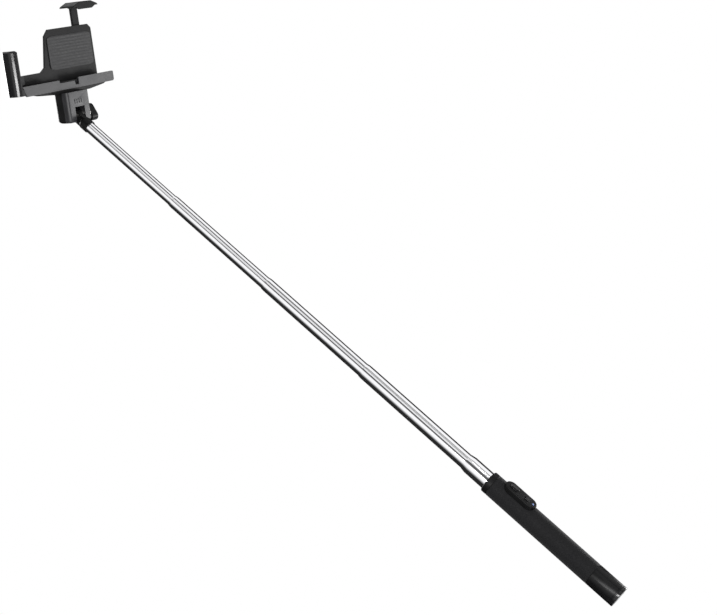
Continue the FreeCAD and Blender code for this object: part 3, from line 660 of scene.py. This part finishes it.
# %% [markdown]
# ## The tilt knob
# The knob is a bar that two fingers turn, so its long sides are scooped and its face is recessed. The
# bar's outline is pinched in the middle, extruded, and bored for the screw that it is moulded round.

# %% Scalloped bar knob
KNOB_LEAN = math.radians(-28)
KNOB_WAIST = 0.06
KNOB_WIDTH = 9.6
KNOB_LENGTH = 18.0
KNOB_BORDER = 1.5
KNOB_RECESS = 0.7


def pinched_bar(width, length, segments=96):
    """A round-ended bar whose long sides are scooped in at the middle."""
    points = []
    for x, z in stadium(width, length, segments):
        pinch = 1 - KNOB_WAIST * math.cos(math.pi * z / length) ** 2
        points.append((x * pinch * MM, z * MM))
    return points


knob_low, knob_high = (corner / MM for corner in upright_box("tilt_knob"))
knob = prism(pinched_bar(KNOB_WIDTH, KNOB_LENGTH), knob_low.x * MM, knob_high.x * MM)
outer = max(knob.faces, key=lambda face: face.calc_center_median().y)
bmesh.ops.inset_region(knob, faces=[outer], thickness=KNOB_BORDER * MM)
bmesh.ops.inset_region(knob, faces=[outer], thickness=0.5 * MM, depth=-KNOB_RECESS * MM)
bmesh.ops.rotate(knob, verts=knob.verts, matrix=Matrix.Rotation(math.radians(-90), 3, "Z"))
bmesh.ops.rotate(knob, verts=knob.verts, matrix=Matrix.Rotation(KNOB_LEAN, 3, "X"))
bmesh.ops.transform(knob, verts=knob.verts, matrix=holder_frame)
knob = cut_away(knob, [merged_copy("clamp_screw")])
round_edges(make_piece("tilt_knob_scalloped", knob, "tilt_knob", 40.0), 0.45, 3, 40.0)

# %% [markdown]
# ## Ribbed rubber pads
# The phone rests on thin rubber pads. Each is moulded with cross ribs that grip, so a grid is rippled
# along its length, crowned across it, given walls down to the seat and closed underneath.

# %% Pads with ribs
def ribbed_pad(name, node, along, across, out, facing, pitch_mm, corner_mm=0.8, valley=0.42):
    """A pad filling a node's box: ribs repeat along one axis and stand up on the facing side of another."""
    low, high = upright_box(node)
    size = high - low
    ribs = max(3, round(size[along] / MM / pitch_mm))
    bm = bmesh.new()
    bmesh.ops.create_grid(bm, x_segments=ribs * 6, y_segments=10, size=0.5)
    seat = low[out] if facing > 0 else high[out]
    half_u, half_v = size[along] / 2, size[across] / 2
    corner = corner_mm * MM
    heights = {}
    for vert in bm.verts:
        u, v = vert.co.x, vert.co.y
        ripple = (0.5 - 0.5 * math.cos(math.tau * (u + 0.5) * ribs)) ** 2
        crown = 1 - 0.3 * abs(2 * v) ** 5 - 0.3 * abs(2 * u) ** 40
        heights[vert] = max(0.25, crown - valley * (1 - ripple) * (1 - abs(2 * v) ** 8))
        reach_u, reach_v = abs(2 * u) * half_u, abs(2 * v) * half_v
        over_u, over_v = reach_u - (half_u - corner), reach_v - (half_v - corner)
        if over_u > 0 and over_v > 0:
            pull = corner * max(over_u, over_v) / (corner * math.hypot(over_u, over_v))
            reach_u = half_u - corner + over_u * pull
            reach_v = half_v - corner + over_v * pull
        spot = Vector((0, 0, 0))
        spot[along] = (low[along] + high[along]) / 2 + math.copysign(reach_u, u)
        spot[across] = (low[across] + high[across]) / 2 + math.copysign(reach_v, v)
        spot[out] = seat + facing * size[out] * heights[vert]
        vert.co = spot
    rim = [edge for edge in bm.edges if edge.is_boundary]
    grown = bmesh.ops.extrude_edge_only(bm, edges=rim)["geom"]
    for vert in [item for item in grown if isinstance(item, bmesh.types.BMVert)]:
        vert.co[out] = seat
    bmesh.ops.holes_fill(bm, edges=[edge for edge in bm.edges if edge.is_boundary])
    bmesh.ops.transform(bm, verts=bm.verts, matrix=holder_frame)
    print(name, ribs, "ribs")
    make_piece(name, bm, node, 50.0)


X, Y, Z = 0, 1, 2
ribbed_pad("tray_pad_ribbed", "tray_pad", X, Y, Z, 1, 1.6)
ribbed_pad("back_pad_ribbed", "back_pad", Z, X, Y, -1, 3.0, 4.0, 0.30)
ribbed_pad("end_stop_pad_ribbed", "end_stop_pad", Z, Y, X, 1, 2.0)
ribbed_pad("jaw_pad_ribbed", "jaw_pad", X, Y, Z, -1, 1.6)

# %% [markdown]
# ## The pull springs
# Two coil springs pull the jaw down. A small wire circle is screwed up a helix, and a loop at its
# foot goes round the anchor pin. Each spring stretches from the fixed pin to the moving arm.

# %% Coiled springs
WIRE_SIDES = 8
COIL_STEPS = 20
COIL_PITCH = 1.15 * MM
spring_low, spring_high = upright_box("jaw_springs")
wire = 0.3 * MM
coil_radius = (spring_high.y - spring_low.y) / 2 - wire
coil_y = (spring_high.y + spring_low.y) / 2
coil_foot = spring_low.z + wire
coil_rise = spring_high.z - spring_low.z - 2 * wire
turns = round(coil_rise / COIL_PITCH)


def wire_ring(bm, centre_x, centre_z, loop_radius):
    """A wire circle standing beside an axis, ready to be spun round it."""
    made = bmesh.ops.create_circle(bm, segments=WIRE_SIDES, radius=wire)["verts"]
    bmesh.ops.rotate(bm, verts=made, matrix=Matrix.Rotation(math.radians(90), 3, "X"))
    bmesh.ops.translate(bm, verts=made, vec=(centre_x + loop_radius, coil_y, centre_z))
    return made + list({edge for vert in made for edge in vert.link_edges})


coils = bmesh.new()
anchor_z = sum(corner.z for corner in upright_box("spring_anchors")) / 2
for centre_x in (spring_low.x + coil_radius + wire, spring_high.x - coil_radius - wire):
    steps = turns * COIL_STEPS
    bmesh.ops.spin(coils, geom=wire_ring(coils, centre_x, coil_foot, coil_radius), cent=(centre_x, coil_y, 0),
                   axis=(0, 0, 1), dvec=(0, 0, coil_rise / steps), angle=math.tau * turns, steps=steps)
    loop = wire_ring(coils, centre_x, anchor_z, coil_radius)
    turned = [item for item in loop if isinstance(item, bmesh.types.BMVert)]
    bmesh.ops.rotate(coils, verts=turned, cent=(centre_x + coil_radius, coil_y, anchor_z),
                     matrix=Matrix.Rotation(math.radians(90), 3, "X"))
    bmesh.ops.spin(coils, geom=loop, cent=(centre_x, coil_y, anchor_z), axis=(0, 1, 0),
                   angle=math.tau, steps=36, use_merge=True)
bmesh.ops.holes_fill(coils, edges=[edge for edge in coils.edges if edge.is_boundary])
bmesh.ops.recalc_face_normals(coils, faces=coils.faces)
bmesh.ops.transform(coils, verts=coils.verts, matrix=holder_frame)
spring_mesh = bpy.data.meshes.new("jaw_springs_coiled")
coils.to_mesh(spring_mesh)
coils.free()
spring_mesh.shade_smooth()
spring_mesh.materials.append(finishes[slot_of["jaw_springs"]])
springs = bpy.data.objects.new("jaw_springs_coiled", spring_mesh)
bpy.context.scene.collection.objects.link(springs)
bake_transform(springs)
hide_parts("jaw_springs")
print("springs:", turns, "turns each,", len(spring_mesh.polygons), "faces")

# %% [markdown]
# ## Cross-recess screws
# The small screws are bought in: pan heads with a cross recess. One is turned and cut for each
# length, then set wherever the engineered model has a screw of that length.

# %% Screws
HEAD_HEIGHT = 1.2
RECESS_HALF_WIDTH = 0.22 * MM
RECESS = [(-1.1, 0.45), (1.1, 0.45), (1.3, 2.0), (-1.3, 2.0)]
TURN_STEP = math.radians(37)


def small_screw(length):
    """A pan-head screw standing on Z with its head's seat at the origin."""
    profile = [(0.0, -length), (0.75, -length), (1.0, -length + 0.3), (1.0, 0.0), (1.9, 0.0), (1.9, 0.45),
               (1.82, 0.72), (1.55, 0.96), (1.1, 1.12), (0.5, 1.19), (0.0, HEAD_HEIGHT)]
    slots = []
    for quarter in (0, 90):
        slot_bar = prism([(x * MM, z * MM) for x, z in RECESS], -RECESS_HALF_WIDTH, RECESS_HALF_WIDTH)
        quarter_turn = Matrix.Rotation(math.radians(quarter), 3, "Z")
        bmesh.ops.rotate(slot_bar, verts=slot_bar.verts, matrix=quarter_turn)
        slots.append(slot_bar)
    shaped = cut_away(spun(profile, 36), slots)
    mesh = bpy.data.meshes.new("screw_master")
    shaped.to_mesh(mesh)
    shaped.free()
    return mesh


def corners_of(points):
    """The lowest and highest corners of some points."""
    low = Vector([min(p[i] for p in points) for i in range(3)])
    high = Vector([max(p[i] for p in points) for i in range(3)])
    return low, high


def place_of(corners):
    """Where a screw stands, to a tenth of a millimetre, which puts the screws in one fixed order."""
    middle = (corners[0] + corners[1]) / 2
    return round(middle.x, 4), round(middle.z, 4), round(middle.y, 4)


def loose_parts(bm):
    """The separate shells of a mesh, each as a list of points."""
    left = set(bm.verts)
    while left:
        shell, front_line = set(), [left.pop()]
        while front_line:
            vert = front_line.pop()
            shell.add(vert)
            near = [edge.other_vert(vert) for edge in vert.link_edges]
            front_line += [other for other in near if other in left]
            left.difference_update(near)
        yield [vert.co.copy() for vert in shell]


screw_masters = {}
for node, axis in (("housing_screws", Y), ("plate_screws", Y), ("cover_screws", Y), ("tray_screws", Z)):
    source = merged_copy(node)
    bmesh.ops.transform(source, verts=source.verts, matrix=holder_frame.inverted())
    fitted = bmesh.new()
    for count, (low, high) in enumerate(sorted(map(corners_of, loose_parts(source)), key=place_of)):
        length = round((high[axis] - low[axis]) / MM - HEAD_HEIGHT, 2)
        seat = (low + high) / 2
        seat[axis] = high[axis] - HEAD_HEIGHT * MM
        if length not in screw_masters:
            screw_masters[length] = small_screw(length)
        before = len(fitted.verts)
        fitted.from_mesh(screw_masters[length])
        fitted.verts.ensure_lookup_table()
        turn = Matrix.Rotation(math.radians(-90), 4, "X") if axis == Y else Matrix.Identity(4)
        spin_round = Matrix.Rotation(TURN_STEP * (count + 1), 4, "Z")
        bmesh.ops.transform(fitted, verts=fitted.verts[before:],
                            matrix=holder_frame @ Matrix.Translation(seat) @ turn @ spin_round)
    source.free()
    make_piece(f"{node}_cross_recess", fitted, node, 35.0)
print("screw lengths", sorted(screw_masters))

# %% [markdown]
# ## The camera
# The stick is seen from beside its grip, so the camera is turned to let the pole run up to the left.

# %% Camera
camera_data = bpy.data.cameras.new("camera")
camera_data.lens = 74.93
camera_data.sensor_width = 36.0
camera_data.clip_start = 0.01
camera = bpy.data.objects.new("camera", camera_data)
camera.location = (-1.0973, -0.7586, -0.0410)
camera.rotation_euler = [math.radians(angle) for angle in (113.996, 46.312, -39.244)]
bpy.context.scene.collection.objects.link(camera)
bpy.context.scene.camera = camera
print("camera lens", round(camera_data.lens, 2), "mm")

# %% [markdown]
# ## A room of light
# Polished steel shows its room, not itself. The wall is white with dark bearings, so each tube gets
# broad white bands with hard black edges. Overhead the room is white, and behind the stick the
# camera sees plain white.

# %% Room walls
ROOM_WHITE = 1.22
CEILING_STARTS = 0.66
CEILING_FULL = 0.80
bpy.context.scene.view_settings.view_transform = "Standard"
world = bpy.data.worlds.new("studio_room")
bpy.context.scene.world = world
world.use_nodes = True
room = world.node_tree
background = room.nodes["Background"]
background.inputs["Color"].default_value = (1.0, 1.0, 1.0, 1.0)


def compass(degrees):
    """Where a bearing, anticlockwise from +X, falls on the room's radial gradient."""
    return ((degrees / 360.0) + 0.5) % 1.0


ring_of_light = [
    (-180, 1.0), (-154, 1.0), (-148, 0.10), (-122, 0.10), (-116, 1.0), (-92, 1.0), (-88, 0.30), (-79, 0.30),
    (-76, 1.0), (-36, 1.0), (-30, 0.02), (138, 0.02), (152, 0.30), (170, 1.0),
]
bearing = add(room, "ShaderNodeTexCoord").outputs["Generated"]
around = add(room, "ShaderNodeTexGradient", {"gradient_type": "RADIAL"}, {"Vector": bearing})
wall = add(room, "ShaderNodeValToRGB", None, {"Fac": around.outputs["Fac"]})
while len(wall.color_ramp.elements) > 1:
    wall.color_ramp.elements.remove(wall.color_ramp.elements[0])
wall.color_ramp.elements[0].position = 0.0
wall.color_ramp.elements[0].color = (1, 1, 1, 1)
for degrees, light in ring_of_light[1:]:
    stop = wall.color_ramp.elements.new(compass(degrees))
    stop.color = (light, light, light, 1)
upward = add(room, "ShaderNodeSeparateXYZ", None, {"Vector": bearing}).outputs["Z"]
ceiling = add(room, "ShaderNodeMapRange", {"clamp": True},
              {"Value": upward, "From Min": CEILING_STARTS, "From Max": CEILING_FULL,
               "To Min": 0.0, "To Max": 1.0})
lit = add(room, "ShaderNodeMath", {"operation": "MAXIMUM"},
          {0: wall.outputs["Color"], 1: ceiling.outputs["Result"]})
bright = add(room, "ShaderNodeMath", {"operation": "MULTIPLY"}, {0: lit.outputs["Value"], 1: ROOM_WHITE})
camera_sees = add(room, "ShaderNodeLightPath").outputs["Is Camera Ray"]
level = add(room, "ShaderNodeMix", {"data_type": "FLOAT"},
            {"Factor": camera_sees, "A": bright.outputs["Value"], "B": 1.0})
room.links.new(level.outputs["Result"], background.inputs["Strength"])
print("room walls:", len(ring_of_light), "stops of light")

# %% [markdown]
# ## Soft boxes
# Black plastic is drawn by its highlights. One box lights the holder's front, a long narrow one lays
# a bright line on the end stop, and a large one shows the back. The camera doesn't see them.

# %% Soft boxes
def soft_box(name, target, towards, distance, size, length, lie, watts):
    """A light aimed at its target from a distance, with its length along a direction."""
    data = bpy.data.lights.new(name, "AREA")
    data.shape = "RECTANGLE"
    data.size = size
    data.size_y = length
    data.energy = watts
    back = Vector(towards).normalized()
    side = Vector(lie).cross(back).normalized()
    axes = Matrix((side, back.cross(side), back)).transposed()
    lamp = bpy.data.objects.new(name, data)
    lamp.location = Vector(target) + back * distance
    lamp.rotation_mode = "QUATERNION"
    lamp.rotation_quaternion = axes.to_quaternion()
    bpy.context.scene.collection.objects.link(lamp)
    lamp.visible_camera = False


holder_up = tuple(jaw_axis)
soft_box("front_box", (0.0, -0.04, 0.73), (0.81, -0.10, -0.58), 1.60, 0.45, 0.45, holder_up, 16.0)
soft_box("edge_strip", (-0.072, -0.045, 0.735), (-0.715, -0.398, -0.575), 1.06, 0.84, 0.11, holder_up, 9.0)
soft_box("back_box", (0.0, 0.0, 0.72), (0.13, 0.55, 0.83), 1.55, 0.80, 0.80, (0, 0, 1), 26.0)
print("soft boxes placed")

# %% [markdown]
# ## A light table and its flags
# The floor is an opal light table, which keeps some shape in the black undersides. A mirror pole
# would vanish against white, so black wedges lie on the floor, where only reflections find them.

# %% Light table and flags
FLOOR = -0.60
FLOOR_HALF = 15.0
FLAG_LIFT = 0.01
WEDGE_NEAR = 0.5
WEDGE_FAR = 14.0
FLOOR_FLAGS = [(18, 30), (82, 34), (150, 28), (246, 22), (288, 20)]


def stage_sheet(name, corners, height, material, mirrors_only=False):
    """A flat sheet of the stage through (x, y) corners that run anticlockwise from above."""
    bm = bmesh.new()
    bm.faces.new([bm.verts.new((x, y, height)) for x, y in corners])
    mesh = bpy.data.meshes.new(name)
    bm.to_mesh(mesh)
    bm.free()
    mesh.materials.append(material)
    sheet = bpy.data.objects.new(name, mesh)
    bpy.context.scene.collection.objects.link(sheet)
    if mirrors_only:
        sheet.visible_camera = sheet.visible_diffuse = sheet.visible_shadow = False


def wedge_corners(middle, spread):
    """The corners of a wedge of the compass, from its near end to its far end and back."""
    turn = math.radians(middle)
    corners = []
    for reach, side in ((WEDGE_NEAR, -1), (WEDGE_FAR, -1), (WEDGE_FAR, 1), (WEDGE_NEAR, 1)):
        off = side * reach * math.tan(math.radians(spread / 2))
        corners.append((reach * math.cos(turn) - off * math.sin(turn),
                        reach * math.sin(turn) + off * math.cos(turn)))
    return corners


light_table = start_material("light_table_opal_acrylic", "#FAFAFA", 0.9, 0.0,
                             {"Emission Color": (1.0, 1.0, 1.0, 1.0), "Emission Strength": 0.35})[0]
floor_corners = [(x * FLOOR_HALF, y * FLOOR_HALF) for x, y in ((-1, -1), (1, -1), (1, 1), (-1, 1))]
stage_sheet("floor", floor_corners, FLOOR, light_table)
velvet = start_material("velvet_black_flag", "#050505", 1.0, 0.0, {"Specular IOR Level": 0.0})[0]
for count, (middle, spread) in enumerate(FLOOR_FLAGS):
    stage_sheet(f"floor_flag_{count}", wedge_corners(middle, spread), FLOOR + FLAG_LIFT, velvet, True)
print("floor flags", len(FLOOR_FLAGS))
